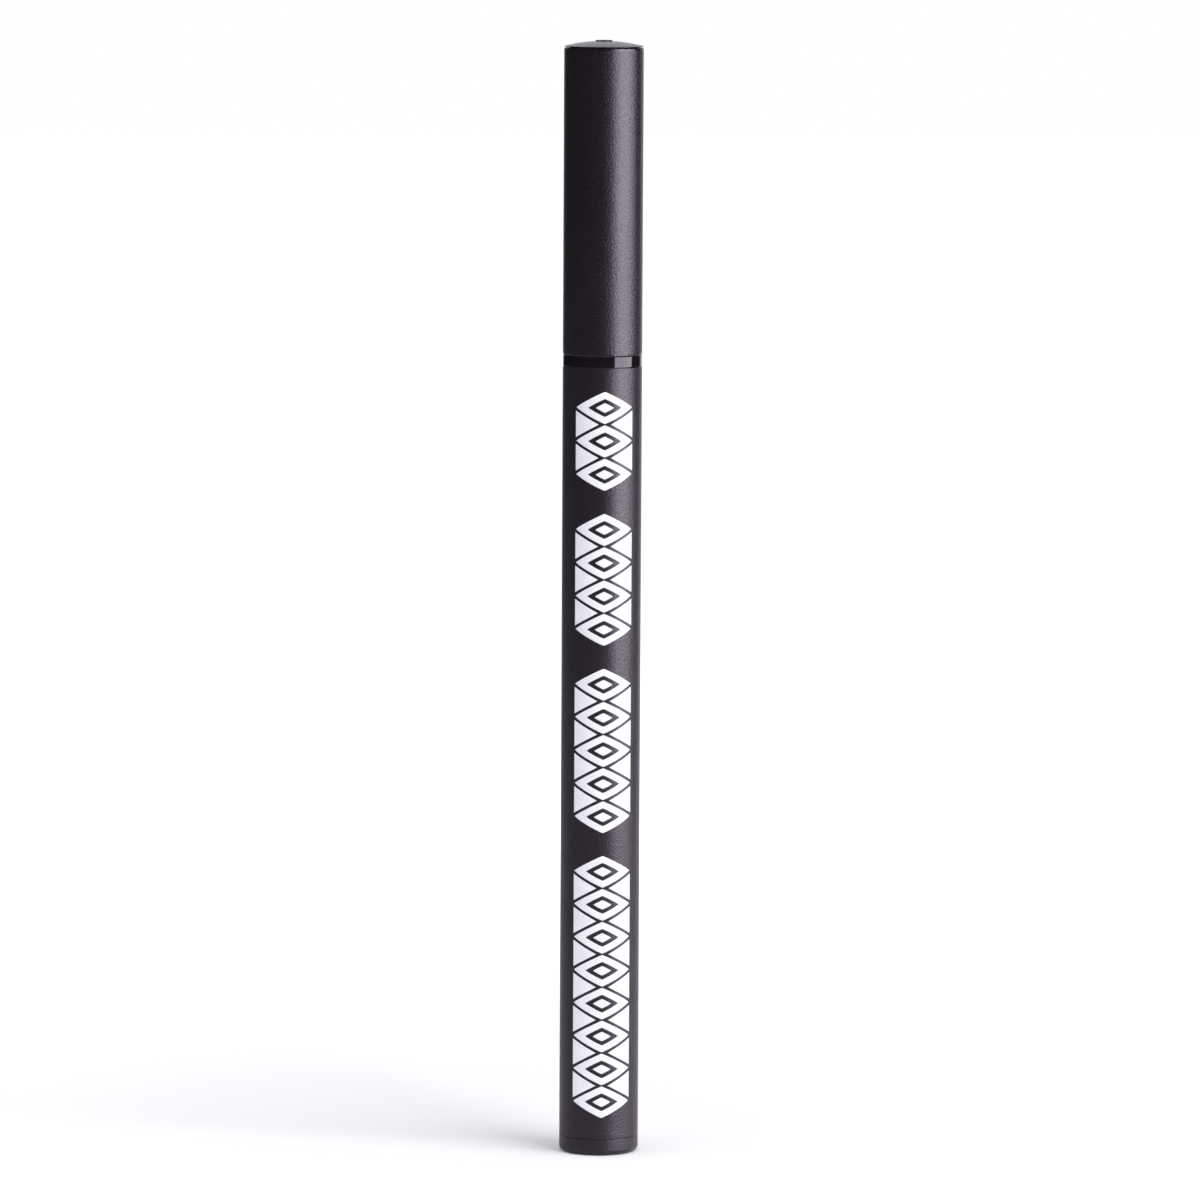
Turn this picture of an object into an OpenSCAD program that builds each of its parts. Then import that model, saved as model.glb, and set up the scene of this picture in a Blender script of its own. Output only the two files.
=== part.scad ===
// Liquid eyeliner pen: a round pen with a snap cap, which stands on its tail plug.
// Liquid and a mixing ball lie in the barrel's tank, and a finned collector and a fibre wick feed the nib.
// The origin is the centre of the foot, and +Z runs up the pen to the crown of the cap.

/* [Outside] */
// Outside diameter of barrel, tail plug and cap
outer_d = 9.8; // [8.1:0.1:12]
// Height of the tail plug's lip below the barrel
lip_h = 2.1; // [1.6:0.1:5]
// Corner radius round the foot of the tail plug
foot_round = 0.6; // [0.3:0.05:1]
// Length of the barrel tube
barrel_len = 95.9; // [79:0.1:120]
// Height of the glossy collar that shows between barrel and cap
collar_h = 1.4; // [0.8:0.1:3]
// Step in from the side of the barrel to the side of the collar
collar_inset = 0.08; // [0.02:0.01:0.3]
// Length of the cap's sleeve
cap_len = 37.8; // [31:0.1:48]
// Upright edge of the crown
crown_rim_h = 0.15; // [0.15:0.05:0.6]
// Rise of the crown's dome above its edge
dome_h = 0.65; // [0.4:0.05:2]
// Vent hole in the middle of the crown
vent_d = 2; // [1:0.1:3]
// Rounding of the outside edges where two pieces meet
edge_round = 0.1; // [0.05:0.01:0.14]

/* [Barrel] */
// Barrel wall round the tail plug and the front section
barrel_wall = 1.0; // [0.8:0.05:1.3]
// Extra wall round the tank, which leaves a shoulder at each end
tank_step = 0.3; // [0.2:0.05:0.6]
// Length of the tail plug's spigot
plug_spigot_len = 7; // [6:0.1:12]
// Length of the front section's spigot
front_spigot_len = 8; // [6:0.1:12]
// Length of the collector between the tank's shoulder and the front section
collector_len = 27; // [20:0.1:34]

/* [Tail plug and ball] */
// Diameter of the mixing ball
ball_d = 3.5; // [2.5:0.1:4]
// Floor of the tail plug's well, under the ball
plug_floor = 1.1; // [0.8:0.1:1.5]
// Diameter of the gate dimple under the foot
dimple_d = 1.6; // [1:0.1:2.4]
// Depth of the gate dimple
dimple_h = 0.2; // [0.1:0.05:0.4]
// Lead-in chamfer at the end of each spigot
spigot_lead = 0.4; // [0.2:0.05:0.6]

/* [Seal rings] */
// Thickness of a seal ring's section
ring_d = 0.98; // [0.8:0.02:1.2]
// Room above and below a seal ring in its groove
ring_room = 0.12; // [0.05:0.01:0.3]
// Wall behind a seal ring's groove, which sets the bore of each spigot
ring_backing = 0.65; // [0.5:0.05:0.8]

/* [Collector] */
// Thickness of one fin
fin_t = 0.4; // [0.3:0.05:0.6]
// Distance from one fin to the next
fin_pitch = 0.8; // [0.7:0.05:1.2]
// Gap between the fins and the barrel
fin_gap = 0.15; // [0.05:0.05:0.4]
// Diameter of the core that carries the fins
core_d = 4; // [3.6:0.1:4.6]
// Height of the sealing collar on the tank's shoulder
seal_collar_h = 2; // [1.5:0.1:3]
// Height of the flange under the front section
collector_flange_h = 1; // [0.6:0.1:2]
// Length of the neck that plugs into the front section
collector_neck_len = 3; // [2:0.1:4]
// Width of the slit that brings liquid to the fins
ink_slit_w = 0.4; // [0.3:0.05:0.6]
// Width of the air channel across the fins
air_slot_w = 1.4; // [0.8:0.1:2]
// Depth of the air channel's floor in the core
air_slot_cut = 0.35; // [0.3:0.05:0.5]
// Length of the guard that keeps the ball off the wick
guard_len = 5.8; // [4:0.1:10]
// Width of the slots that part the guard into prongs
guard_slot_w = 1.2; // [0.8:0.1:1.4]
// Height of the guard's unslotted root
guard_root = 1.2; // [0.8:0.1:2]

/* [Wick and nib] */
// Diameter of the fibre wick
wick_d = 2.2; // [1.8:0.1:2.4]
// Distance from the end of the guard in to the end of the wick
wick_recess = 0.8; // [0.4:0.1:1.5]
// Wall of the pipe that joins the wick to the nib
pipe_wall = 0.36; // [0.25:0.01:0.4]
// Length of the joining pipe
pipe_len = 12; // [8:0.1:14]
// Diameter of the nib
nib_d = 2.1; // [1.6:0.1:2.2]
// Length of the nib's tail inside the pipe
nib_tail_len = 6; // [4:0.1:7]
// Straight part of the nib outside the nose
nib_straight = 0.7; // [0.3:0.1:2]
// Length of the nib's point
nib_point = 4.7; // [3:0.1:6]
// Diameter of the very tip
nib_tip_d = 0.24; // [0.16:0.02:0.6]

/* [Front section] */
// Length of the neck that the cap slides over
neck_len = 6.6; // [5:0.1:7]
// Height of the snap bead's middle above the collar
bead_z = 3; // [2.4:0.1:3.6]
// How far the snap bead stands out of the neck
bead_out = 0.13; // [0.08:0.01:0.2]
// Height of the snap bead
bead_h = 1.2; // [0.8:0.1:1.6]
// Step in from the neck to the sealing land
land_step = 0.65; // [0.5:0.05:0.8]
// Length of the sealing land
land_len = 2.4; // [1.6:0.1:3]
// Step in from the sealing land to the nose
nose_step = 0.25; // [0.2:0.05:0.4]
// Length of the tapered nose
nose_len = 11.4; // [10:0.1:12]
// Wall of the nose round the nib, at its tip
nose_tip_wall = 0.58; // [0.45:0.01:0.8]
// Rounding of the end of the nose
nose_round = 0.5; // [0.2:0.05:0.55]
// Length of the small bore that grips the nib
nib_grip_len = 2.4; // [1.6:0.1:3.5]
// Thickness of the ribs that centre the joining pipe in the neck
rib_t = 0.5; // [0.4:0.05:0.8]

/* [Cap] */
// Cap wall above the ledge
cap_wall = 0.9; // [0.7:0.05:1]
// Extra cap wall below the ledge
mouth_step = 0.12; // [0.1:0.01:0.3]
// How far the snap lip stands in from the bore above it
snap_lip_in = 0.12; // [0.08:0.01:0.2]
// Gap from the top of the snap lip to the bead when the cap is closed
snap_play = 0.1; // [0.05:0.01:0.2]
// How far the ledge stands in from the bore below it
ledge_in = 0.18; // [0.12:0.01:0.25]
// Height of the ledge that stops the inner cap
ledge_h = 1.2; // [0.8:0.1:2]
// Lead-in chamfer inside the cap's mouth
mouth_lead = 0.3; // [0.1:0.05:0.5]
// Length of the crown's spigot
crown_spigot_len = 2.8; // [2:0.1:4]
// Wall of the crown's spigot
crown_spigot_wall = 0.8; // [0.7:0.02:0.9]
// Thickness of crown between its hollow and the end of the sleeve
crown_roof = 0.9; // [0.6:0.1:1.2]

/* [Inner cap and spring] */
// Wall of the inner cap above its flange
inner_wall = 0.6; // [0.4:0.05:0.7]
// Length of the inner cap's skirt below its flange
skirt_len = 8.5; // [7:0.1:10]
// Height of the inner cap's flange
inner_flange_h = 1; // [0.6:0.1:1.6]
// Radius that the inner cap loses from flange to roof
inner_taper = 0.3; // [0.1:0.05:0.35]
// Free height above the nib
tip_room = 1.6; // [0.8:0.1:3]
// Thickness of the inner cap's roof
inner_roof = 1; // [0.6:0.1:1.4]
// Thickness of the spring's wire
wire_d = 0.4; // [0.3:0.05:0.45]
// Room between the spring and what it lies between, the cap's bore and the inner cap
spring_room = 0.15; // [0.1:0.01:0.2]
// Height of the spring's first and last turn
end_turn_h = 0.9; // [0.9:0.05:1.2]
// Most height of each turn between them
turn_h = 1.9; // [1.3:0.1:2.4]

/* [Fits] */
// Radial gap between pieces that are pressed together
press_gap = 0.02; // [0.01:0.01:0.05]
// Radial gap between pieces that slide on each other
slide_gap = 0.02; // [0.01:0.01:0.05]
// Gap between faces that only rest on each other
rest_gap = 0.02; // [0.01:0.01:0.05]
// Radial gap round the inner cap's skirt and flange
loose_gap = 0.1; // [0.05:0.01:0.15]

/* [Hidden] */
$fn = 96;

// Every cut runs this far past the surface that it opens
past = 1;
outer_r = outer_d / 2;

// Heights up the pen body
z_barrel_foot = lip_h;
z_barrel_top = z_barrel_foot + barrel_len;
z_collar_top = z_barrel_top + collar_h;
z_plug_end = z_barrel_foot + plug_spigot_len;
z_plug_shoulder = z_plug_end + spigot_lead;
z_spigot_end = z_barrel_top - front_spigot_len;
z_tank_top = z_spigot_end - collector_len;
z_guard_end = z_tank_top - guard_len;
z_tail_ring = z_barrel_foot + plug_spigot_len / 2;
z_neck_ring = z_spigot_end + front_spigot_len / 2;

// Heights up the neck, nose and nib
z_land = z_collar_top + neck_len + land_step;
z_nose = z_land + land_len;
z_nose_tip = z_nose + nose_len;
z_pipe_top = z_nose_tip - nib_grip_len;
z_pipe_foot = z_pipe_top - pipe_len;
z_wick_foot = z_guard_end + wick_recess;
z_wick_top = z_pipe_top - nib_tail_len;
z_point = z_nose_tip + nib_straight;
z_nib_tip = z_point + nib_point;

// Heights up the cap when it is closed
z_cap_mouth = z_collar_top + rest_gap;
z_crown = z_cap_mouth + cap_len;
z_crown_top = z_crown + crown_rim_h + dome_h;
z_snap_lip = z_collar_top + bead_z - bead_h / 2 - snap_play;
z_skirt_foot = z_land + rest_gap;
z_inner_flange = z_skirt_foot + skirt_len;
z_flange_top = z_inner_flange + inner_flange_h;
z_ledge_top = z_inner_flange - rest_gap;
z_inner_roof = z_nib_tip + tip_room;
z_inner_top = z_inner_roof + inner_roof;
z_crown_spigot = z_crown - crown_spigot_len;
z_crown_roof = z_crown - crown_roof;

// Radii inside the barrel
seat_r = outer_r - barrel_wall;
tank_r = seat_r - tank_step;
spigot_r = seat_r - press_gap;
ring_r = seat_r - (press_gap + ring_d) / 2;
groove_r = seat_r - press_gap - ring_d;
groove_h = ring_d + 2 * ring_room;
spigot_bore_r = groove_r - ring_backing;
ball_r = ball_d / 2;
core_r = core_d / 2;
fin_r = seat_r - fin_gap;
wick_r = wick_d / 2;
wick_bore_r = wick_r + press_gap;
collector_neck_r = spigot_bore_r - press_gap;
nib_r = nib_d / 2;
nib_bore_r = nib_r + press_gap;
pipe_in_r = max(wick_bore_r, nib_bore_r);
pipe_r = pipe_in_r + pipe_wall;
pipe_bore_r = pipe_r + press_gap;

// Radii inside the cap, and of the neck that fits it
cap_bore_r = outer_r - cap_wall;
mouth_r = cap_bore_r - mouth_step;
snap_lip_r = mouth_r - snap_lip_in;
bead_r = snap_lip_r - slide_gap;
neck_r = bead_r - bead_out;
land_r = neck_r - land_step;
nose_r = land_r - nose_step;
nose_tip_r = nib_bore_r + nose_tip_wall;
ledge_r = mouth_r - ledge_in;
skirt_r = ledge_r - loose_gap;
seal_r = land_r + slide_gap;
inner_flange_r = cap_bore_r - loose_gap;
spring_r = cap_bore_r - spring_room - wire_d / 2;
inner_body_r = spring_r - wire_d / 2 - spring_room;
inner_top_r = inner_body_r - inner_taper;
crown_spigot_r = cap_bore_r - press_gap;
crown_hollow_r = crown_spigot_r - crown_spigot_wall;

// The ball lies on the floor of the well, or on its rim if it is too big to drop in
z_ball = ball_r < spigot_bore_r
    ? plug_floor + rest_gap + ball_r
    : z_plug_end + rest_gap + sqrt(pow(ball_r, 2) - pow(spigot_bore_r, 2));

// Fins that fit between the collector's sealing collar and its flange
z_fins = z_tank_top + rest_gap + seal_collar_h;
z_collector_flange = z_spigot_end - rest_gap - collector_flange_h;
fin_count = floor((z_collector_flange - z_fins) / fin_pitch);

// Turns of the spring between the inner cap's flange and the crown's spigot
spring_foot = z_flange_top + rest_gap + wire_d / 2;
spring_top = z_crown_spigot - rest_gap - wire_d / 2;
inner_turns = ceil((spring_top - spring_foot - 2 * end_turn_h) / turn_h);
inner_turn_h = (spring_top - spring_foot - 2 * end_turn_h) / inner_turns;
spring_turns = inner_turns + 2;
rings_a_turn = 16;
wire_sides = 6;
rib_count = 6;

// Radius of the arc that leaves a straight side of radius r and drops by d over the length l
function arc_radius(l, d) = (l * l + d * d) / (2 * d);

// Turned solid whose half section is given as radius across and height up
module turned() rotate_extrude() children();

// Half section of a wall between two radii and two heights
module wall(r_in, r_out, z0, z1) translate([r_in, z0]) square([r_out - r_in, z1 - z0]);

// Half section of a bore, which runs over the axis
module bore(r, z0, z1) translate([-past, z0]) square([r + past, z1 - z0]);

// Waste outside a rounded corner; end is 1 at a top and -1 at a foot
module round_off(r, z, size, end) {
    translate([r - size, z - end * size]) difference() {
        translate([0, end > 0 ? 0 : -2 * size]) square(2 * size);
        circle(size);
    }
}

// Waste outside a chamfer; side is 1 on an outside edge and -1 on a bore's
module bevel_off(r, z, size, end, side = 1) {
    polygon([
        [r - side * size, z],
        [r - side * size, z + end * size],
        [r + side * size, z + end * size],
        [r + side * size, z - end * size],
        [r, z - end * size]
    ]);
}

// Half section of a seal ring's groove, cut in from a spigot's side
module ring_groove(z) wall(groove_r, seat_r + past, z - groove_h / 2, z + groove_h / 2);

module seal_ring(z) translate([0, 0, z]) rotate_extrude() translate([ring_r, 0]) circle(ring_d / 2);

module barrel() {
    color("#262327") turned() difference() {
        wall(0, outer_r, z_barrel_foot, z_barrel_top);
        bore(tank_r, z_barrel_foot - past, z_barrel_top + past);
        bore(seat_r, z_barrel_foot - past, z_plug_shoulder);
        bore(seat_r, z_tank_top, z_barrel_top + past);
        round_off(outer_r, z_barrel_foot, edge_round, -1);
        round_off(outer_r, z_barrel_top, edge_round, 1);
    }
}

module tail_plug() {
    color("#2b272c") turned() difference() {
        union() {
            wall(0, outer_r, 0, z_barrel_foot - rest_gap);
            wall(0, spigot_r, 0, z_plug_end);
        }
        bore(spigot_bore_r, plug_floor, z_plug_end + past);
        bore(dimple_d / 2, -past, dimple_h);
        ring_groove(z_tail_ring);
        round_off(outer_r, 0, foot_round, -1);
        round_off(outer_r, z_barrel_foot - rest_gap, edge_round, 1);
        bevel_off(spigot_r, z_plug_end, spigot_lead, 1);
    }
}

module tail_seal_ring() color("#5a5a5c") seal_ring(z_tail_ring);

module neck_seal_ring() color("#5a5a5c") seal_ring(z_neck_ring);

module mixing_ball() color("#c8cacc") translate([0, 0, z_ball]) sphere(ball_r);

// One piece: pronged guard, sealing collar, finned core, flange and neck
module collector() {
    color("#e8e6e0") difference() {
        turned() difference() {
            union() {
                wall(0, core_r, z_guard_end, z_spigot_end - rest_gap);
                wall(0, spigot_r, z_tank_top + rest_gap, z_fins);
                for (i = [1 : fin_count]) {
                    wall(0, fin_r, z_fins + i * fin_pitch - fin_t, z_fins + i * fin_pitch);
                }
                wall(0, spigot_r, z_collector_flange, z_spigot_end - rest_gap);
                wall(0, collector_neck_r, z_collector_flange, z_spigot_end + collector_neck_len);
            }
            bore(wick_bore_r, z_guard_end - past, z_barrel_top);
        }
        ink_slit();
        air_channel();
        guard_slots();
    }
}

// Thin slit from the wick out through the sealing collar and all the fins
module ink_slit() {
    translate([0, -ink_slit_w / 2, z_tank_top]) {
        cube([outer_r, ink_slit_w, z_collector_flange - z_tank_top]);
    }
}

// Wide channel on the far side, across the fins only
module air_channel() {
    translate([-outer_r, -air_slot_w / 2, z_fins]) {
        cube([outer_r - core_r + air_slot_cut, air_slot_w, z_collector_flange - z_fins]);
    }
}

module guard_slots() {
    slot_h = guard_len - guard_root;
    for (turn = [45, 135]) {
        rotate(turn) translate([-outer_r, -guard_slot_w / 2, z_guard_end - past]) {
            cube([2 * outer_r, guard_slot_w, slot_h + past]);
        }
    }
}

module relay_wick() {
    color("#f2efe6") turned() wall(0, wick_r, z_wick_foot, z_wick_top);
}

module wick_pipe() {
    color("#dfe1e2") turned() wall(pipe_in_r, pipe_r, z_pipe_foot, z_pipe_top - rest_gap);
}

// Spigot, collar and neck with its snap bead, then the sealing land and the nose
module front_section() {
    color("#0c0b0d") difference() {
        union() {
            turned() difference() {
                front_outline();
                bore(spigot_bore_r, z_spigot_end - past, z_nose);
                ring_groove(z_neck_ring);
                bevel_off(spigot_r, z_spigot_end, spigot_lead, -1);
                round_off(collar_r(), z_collar_top, edge_round / 2, 1);
            }
            pipe_ribs();
        }
        turned() {
            wall(0, pipe_bore_r, z_spigot_end - past, z_pipe_top);
            wall(0, nib_bore_r, z_spigot_end - past, z_nose_tip + past);
        }
    }
}

module front_outline() {
    wall(0, spigot_r, z_spigot_end, z_collar_top);
    wall(0, collar_r(), z_barrel_top + rest_gap, z_collar_top);
    wall(0, neck_r, z_barrel_top, z_collar_top + neck_len);
    snap_bead();
    polygon([[0, z_land - land_step], [neck_r, z_land - land_step], [land_r, z_land], [0, z_land]]);
    wall(0, land_r, z_land, z_nose);
    polygon([[0, z_nose - nose_step], [land_r, z_nose], [nose_r, z_nose + nose_step], [0, z_nose + nose_step]]);
    nose();
}

// Ribs in the neck's bore, which hold the joining pipe on the axis
module pipe_ribs() {
    for (i = [1 : rib_count / 2]) {
        rotate(i * 360 / rib_count) intersection() {
            translate([-outer_r, -rib_t / 2, z_pipe_foot]) cube([2 * outer_r, rib_t, z_nose - z_pipe_foot]);
            cylinder(r = spigot_bore_r + spigot_lead, h = z_nose);
        }
    }
}

function collar_r() = outer_r - collar_inset;

// Low bulge round the neck that clicks past the cap's snap lip
module snap_bead() {
    bulge = arc_radius(bead_h / 2, bead_out);
    intersection() {
        translate([bead_r - bulge, z_collar_top + bead_z]) circle(bulge);
        wall(0, bead_r + past, z_collar_top, z_collar_top + neck_len);
    }
}

// Bullet-shaped nose: one long arc from the sealing land, rounded over at the tip
module nose() {
    arc = arc_radius(nose_len, nose_r - nose_tip_r);
    round_z = z_nose_tip - nose_round;
    round_r = nose_r - arc + sqrt(pow(arc - nose_round, 2) - pow(round_z - z_nose, 2));
    meet_z = z_nose + arc * (round_z - z_nose) / (arc - nose_round);
    intersection() {
        translate([nose_r - arc, z_nose]) circle(arc, $fn = 360);
        wall(0, nose_r + past, z_nose, meet_z);
    }
    wall(0, round_r, z_nose, z_nose_tip);
    translate([round_r, round_z]) circle(nose_round);
}

// Felt nib: a straight tail and an ogive point that ends in a small ball
module nib() {
    tip_r = nib_tip_d / 2;
    ball_z = z_nib_tip - tip_r;
    rise = ball_z - z_point;
    arc = (nib_r * nib_r + rise * rise - tip_r * tip_r) / (2 * (nib_r - tip_r));
    meet_z = z_point + arc * rise / (arc - tip_r);
    color("#141215") turned() {
        wall(0, nib_r, z_wick_top + rest_gap, z_point);
        intersection() {
            translate([nib_r - arc, z_point]) circle(arc, $fn = 180);
            wall(0, nib_r, z_point, meet_z);
        }
        intersection() {
            translate([0, ball_z]) circle(tip_r);
            wall(0, nib_r, ball_z - tip_r / 2, z_nib_tip + tip_r);
        }
    }
}

// Tube open at both ends: snap lip at the mouth, and a ledge inside that stops the inner cap
module cap_sleeve() {
    color("#1d1a1f") turned() difference() {
        wall(0, outer_r, z_cap_mouth, z_crown);
        bore(snap_lip_r, z_cap_mouth - past, z_crown);
        bore(mouth_r, z_snap_lip, z_ledge_top - ledge_h);
        bore(ledge_r, z_snap_lip, z_crown);
        bore(cap_bore_r, z_ledge_top, z_crown + past);
        bevel_off(snap_lip_r, z_cap_mouth, mouth_lead, -1, -1);
        bevel_off(snap_lip_r, z_snap_lip, snap_lip_in, 1, -1);
        round_off(outer_r, z_cap_mouth, edge_round, -1);
        round_off(outer_r, z_crown, edge_round, 1);
    }
}

// Domed hollow plug pressed into the sleeve's upper end, with a vent hole
module cap_crown() {
    dome = arc_radius(outer_r, dome_h);
    dome_z = z_crown_top - dome;
    edge_r = outer_r - edge_round;
    edge_z = dome_z + sqrt(pow(dome - edge_round, 2) - pow(edge_r, 2));
    meet_r = edge_r * dome / (dome - edge_round);
    color("#232024") turned() difference() {
        union() {
            wall(0, outer_r, z_crown + rest_gap, edge_z);
            intersection() {
                translate([edge_r, edge_z]) circle(edge_round);
                wall(0, outer_r + past, z_crown + rest_gap, z_crown_top);
            }
            intersection() {
                translate([0, dome_z]) circle(dome, $fn = 360);
                wall(0, meet_r, z_crown + rest_gap, z_crown_top + past);
            }
            wall(0, crown_spigot_r, z_crown_spigot, z_crown + crown_rim_h);
        }
        bore(crown_hollow_r, z_crown_spigot - past, z_crown_roof);
        bore(vent_d / 2, z_crown_roof - past, z_crown_top + past);
        bevel_off(crown_spigot_r, z_crown_spigot, edge_round, -1);
    }
}

// Sealing cup: skirt on the land, flange on the ledge, and a tapered body inside the spring
module inner_cap() {
    color("#d9dadb") turned() difference() {
        union() {
            wall(0, skirt_r, z_skirt_foot, z_flange_top);
            wall(0, inner_flange_r, z_inner_flange, z_flange_top);
            polygon([[0, z_flange_top], [inner_body_r, z_flange_top], [inner_top_r, z_inner_top], [0, z_inner_top]]);
        }
        bore(seal_r, z_skirt_foot - past, z_inner_flange);
        polygon([
            [-past, z_inner_flange],
            [seal_r, z_inner_flange],
            [inner_body_r - inner_wall, z_flange_top],
            [inner_top_r - inner_wall, z_inner_roof],
            [-past, z_inner_roof]
        ]);
        bevel_off(seal_r, z_skirt_foot, edge_round, -1, -1);
    }
}

// Height of the wire's middle after a number of turns: the first and last turns lie closer
function spring_z(turn) = spring_foot
    + end_turn_h * min(turn, 1)
    + inner_turn_h * max(0, min(turn - 1, inner_turns))
    + end_turn_h * max(0, turn - 1 - inner_turns);
function spring_point(i) = [
    spring_r * cos(i * 360 / rings_a_turn), spring_r * sin(i * 360 / rings_a_turn), spring_z(i / rings_a_turn)
];
spring_line = [for (i = [0 : spring_turns * rings_a_turn]) spring_point(i)];
echo(least_gap_in_spring = min([
    for (i = [0 : len(spring_line) - 1 - rings_a_turn]) norm(spring_line[i + rings_a_turn] - spring_line[i])
]) - wire_d);

// Ring of points round the wire at one place on its line, in an upright plane through the axis
function wire_ring(p, angle) = [
    for (k = [0 : wire_sides - 1])
        let (a = k * 360 / wire_sides)
        p + wire_d / 2 * [cos(a) * cos(angle), cos(a) * sin(angle), sin(a)]
];

module inner_cap_spring() {
    last = len(spring_line) - 1;
    end = last * wire_sides;
    points = [for (i = [0 : last]) each wire_ring(spring_line[i], i * 360 / rings_a_turn)];
    sides = [
        for (i = [0 : last - 1], k = [0 : wire_sides - 1])
            let (
                n = (k + 1) % wire_sides,
                a = i * wire_sides,
                b = a + wire_sides
            )
            each [[a + k, a + n, b + n], [a + k, b + n, b + k]]
    ];
    foot = [for (k = [1 : wire_sides - 2]) [0, k + 1, k]];
    top = [for (k = [1 : wire_sides - 2]) [end, end + k, end + k + 1]];
    color("#c8cacc") polyhedron(points, concat(sides, foot, top));
}

barrel();
tail_plug();
tail_seal_ring();
mixing_ball();
collector();
relay_wick();
wick_pipe();
front_section();
neck_seal_ring();
nib();
cap_sleeve();
cap_crown();
inner_cap();
inner_cap_spring();
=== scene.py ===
"""Looks of a slim liquid eyeliner pen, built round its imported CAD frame.

Shapes are in millimetres, and a mesh is turned to metres when it is made. Finishes and the studio
are in metres. +Z runs up the pen from the middle of its foot, and -Y faces the camera.
"""

import math

import bpy
import numpy as np
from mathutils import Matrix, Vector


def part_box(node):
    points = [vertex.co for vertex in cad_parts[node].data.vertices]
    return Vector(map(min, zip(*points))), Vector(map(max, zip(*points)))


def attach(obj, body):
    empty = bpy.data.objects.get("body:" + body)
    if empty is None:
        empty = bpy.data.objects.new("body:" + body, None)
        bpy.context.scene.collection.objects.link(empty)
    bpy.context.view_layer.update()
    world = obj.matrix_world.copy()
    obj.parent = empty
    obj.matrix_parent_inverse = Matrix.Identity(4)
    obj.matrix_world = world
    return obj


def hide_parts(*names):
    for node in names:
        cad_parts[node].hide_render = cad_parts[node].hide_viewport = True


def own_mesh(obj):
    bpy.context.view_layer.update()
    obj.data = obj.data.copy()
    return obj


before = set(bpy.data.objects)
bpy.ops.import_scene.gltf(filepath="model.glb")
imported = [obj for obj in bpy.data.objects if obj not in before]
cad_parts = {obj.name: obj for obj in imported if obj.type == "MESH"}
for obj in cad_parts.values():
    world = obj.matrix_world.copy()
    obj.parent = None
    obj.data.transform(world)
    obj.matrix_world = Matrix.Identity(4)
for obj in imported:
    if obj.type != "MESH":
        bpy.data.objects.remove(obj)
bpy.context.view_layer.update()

# ---- Sizes ---------------------------------------------------------------------------------------


def span(node):
    """Lowest height, highest height and outside radius of a CAD node, in mm."""
    low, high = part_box(node)
    return round(low.z * 1000, 3), round(high.z * 1000, 3), round(high.x * 1000, 3)


BARREL_FOOT, BARREL_TOP, OUTER_R = span("barrel")
PLUG_END = span("tail_plug")[1]
SPIGOT_END, NOSE_TIP, COLLAR_R = span("front_section")
MOUTH, SLEEVE_TOP, _ = span("cap_sleeve")
NIB_FOOT, NIB_TIP, NIB_R = span("nib")
SKIRT_FOOT, CUP_TOP, FLANGE_R = span("inner_cap")
SPRING_FOOT, SPRING_TOP, SPRING_OUT_R = span("inner_cap_spring")
BALL_FOOT, _, BALL_R = span("mixing_ball")

# Clearance and roundings
GAP = 0.02  # between faces that rest or are pressed on each other
EDGE = 0.13  # rounding of the outside edge at the cap's mouth
SEAM = 0.05  # rounding of the outside edges at a pressed seam
SOFT = 0.03  # the least rounding that a mould leaves on any other edge

# Barrel and tail plug
SEAT_R = 3.9  # barrel's bore round the tail plug and the front section
TANK_R = 3.6
TANK_TOP = 63.0
SPIGOT_R = SEAT_R - GAP
SPIGOT_BORE_R = 2.25
SPIGOT_LEAD = 0.4
GROOVE_R = 2.9
GROOVE_H = 1.22
FOOT_ROUND = 0.6
GATE_R = 0.8  # dimple that the mould's gate leaves in the foot
GATE_DEPTH = 0.2
WELL_FLOOR = 1.1

# Front section
COLLAR_OUT = 0.06  # polished, the collar comes out to just under the barrel's side
NECK_R = 3.61
BEAD_Z = 102.4
BEAD_H = 1.2
LAND_Z = 106.65
LAND_STEP = 0.65
LAND_R = 2.96
NOSE_Z = 109.05
NOSE_STEP = 0.25
NOSE_R = 2.71
NOSE_TIP_R = 1.65
NOSE_ROUND = 0.5
PIPE_BORE_R = 1.5
PIPE_TOP = 118.05
PIPE_FOOT = 106.05
RIBS = 6
RIB_W = 0.5

# Nib
NIB_BORE_R = NIB_R + GAP
NIB_POINT_LEN = 4.7
NIB_TIP_R = 0.12
FIBRE_DEPTH = 0.0025  # half of what the felt's skin is drawn in at its deepest

# Cap and crown
CAP_BORE_R = 4.0
LIP_R = 3.76  # snap lip inside the cap's mouth
LIP_TOP = 101.7
BEAD_R = LIP_R - GAP
MOUTH_R = 3.88
LEDGE_R = 3.7
LEDGE_TOP = 115.15
LEDGE_H = 1.2
SEAM_CUT = 0.07  # height of the line under the crown, cut into the sleeve's end
SEAM_DEPTH = 0.6  # how far that line goes in
DOME_RISE = 0.77
DOME_DROP = 0.62  # from the dome's top to its edge
DOME_ROUND = 0.1
VENT_R = 1.0
VENT_LIP_R = 1.06
VENT_LIP_H = 0.085
VENT_FLAT_R = 1.12
CROWN_ROOF = 0.9  # below the sleeve's end, as is the next
CROWN_PLUG_LEN = 2.8
CROWN_HOLLOW_R = 3.18

# Sealing cup and spring
SKIRT_R = 3.6
SKIRT_BORE_R = 2.98
SKIRT_LEN = 8.5
FLANGE_H = 1.0
CUP_R = 3.3  # outside, over the flange
CUP_TOP_R = 3.0
CUP_WALL = 0.6
CUP_ROOF = 1.0
WIRE_R = 0.2
TURNS = 11
END_TURN = 0.9  # height of the spring's first and last turn

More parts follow.
